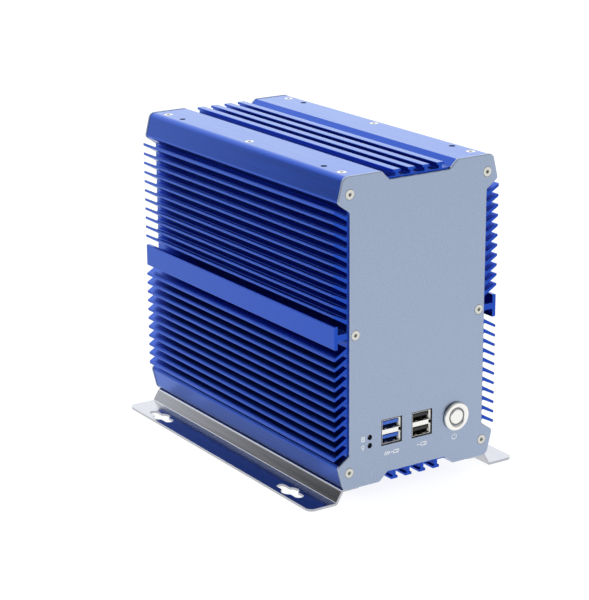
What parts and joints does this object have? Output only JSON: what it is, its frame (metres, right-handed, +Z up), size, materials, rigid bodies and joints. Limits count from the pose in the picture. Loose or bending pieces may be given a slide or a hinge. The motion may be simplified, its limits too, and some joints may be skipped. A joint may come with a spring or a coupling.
{
  "type": "fanless box computer",
  "caption": "Fanless box computer: single-board mainboard in a blue finned extruded case with silver end panels, push button, front sockets and bolt-down brackets.",
  "frame": {"origin": "on the ground under the middle of the case, halfway between the front and rear faces", "axes": "+X to the right seen from the front, +Y from the front panel to the rear panel, +Z up"},
  "size_m": [0.1532, 0.2264, 0.1988],
  "materials": {
    "aluminium_bare": "machined",
    "black_anodised": "black anodised",
    "black_plastic": "black thermoplastic",
    "black_rubber": "moulded",
    "blue_anodised": "satin blue anodised extrusion",
    "blue_socket_plastic": "blue thermoplastic",
    "brass": "bare",
    "capacitor_can": "aluminium can",
    "cell_steel": "stainless can",
    "circuit_board": "solder-masked laminate",
    "ferrite": "moulded ferrite",
    "indicator_lens": "dark lens",
    "lead_jacket": "jacketed lead",
    "light_ring": "translucent grey ring",
    "nickel_steel": "nickel plated steel",
    "polished_bracket_steel": "bright plated sheet",
    "polished_button_steel": "polished stainless steel",
    "processor_metal": "nickel plated lid",
    "silver_anodised": "bead-blasted silver anodised",
    "socket_shell": "tin plated sheet",
    "spring_steel": "drawn",
    "thermal_pad": "soft filled pad",
    "zinc_sheet": "zinc plated sheet"
  },
  "bodies": {
    "case": {"heat_sink_left": "blue_anodised", "heat_sink_right": "blue_anodised", "top_cover": "blue_anodised", "bottom_cover": "blue_anodised", "front_panel": "silver_anodised", "rear_panel": "silver_anodised", "panel_screws": "nickel_steel", "cover_screws": "nickel_steel", "bracket_screws": "nickel_steel", "board_screws": "nickel_steel", "block_screws": "nickel_steel", "drive_screws": "nickel_steel", "mounting_bracket_left": "polished_bracket_steel", "mounting_bracket_right": "polished_bracket_steel", "front_usb3_shell": "socket_shell", "front_usb2_shell": "socket_shell", "network_usb_shells": "socket_shell", "video_shells": "socket_shell", "front_usb3_tongues": "blue_socket_plastic", "front_usb2_tongues": "black_plastic", "network_usb_tongues": "blue_socket_plastic", "video_tongues": "black_plastic", "front_port_board": "circuit_board", "mainboard": "circuit_board", "memory_modules": "circuit_board", "front_board_standoffs": "brass", "board_standoffs": "brass", "drive_spacers": "aluminium_bare", "indicator_holder": "black_plastic", "indicator_leds": "indicator_lens", "button_housing": "polished_button_steel", "button_gasket": "black_rubber", "button_nut": "nickel_steel", "button_spring": "spring_steel", "switch_base": "black_plastic", "switch_terminals": "brass", "processor": "processor_metal", "thermal_pads": "thermal_pad", "heat_transfer_block": "aluminium_bare", "block_backplate": "spring_steel", "memory_sockets": "black_plastic", "chipset_cooler": "black_anodised", "power_coils": "ferrite", "capacitors": "capacitor_can", "coin_cell_holder": "black_plastic", "coin_cell": "cell_steel", "board_headers": "black_plastic", "board_tray": "zinc_sheet", "solid_state_drive": "black_anodised", "audio_sockets": "black_plastic", "power_socket": "black_plastic", "port_shield": "zinc_sheet", "aerial_hole_plugs": "black_rubber", "front_port_header": "black_plastic", "front_port_lead": "lead_jacket", "button_lead": "lead_jacket", "drive_lead": "lead_jacket"},
    "power_button": {"button_plunger": "polished_button_steel", "button_light_ring": "light_ring"}
  },
  "joints": [
    {"name": "button_press", "type": "slide", "parent": "case", "child": "power_button", "axis": [0, 1, 0], "range_m": [0, 0.002], "stiffness_N_per_m": 1500, "springref_m": -0.001, "deforming": ["button_spring"]}
  ]
}
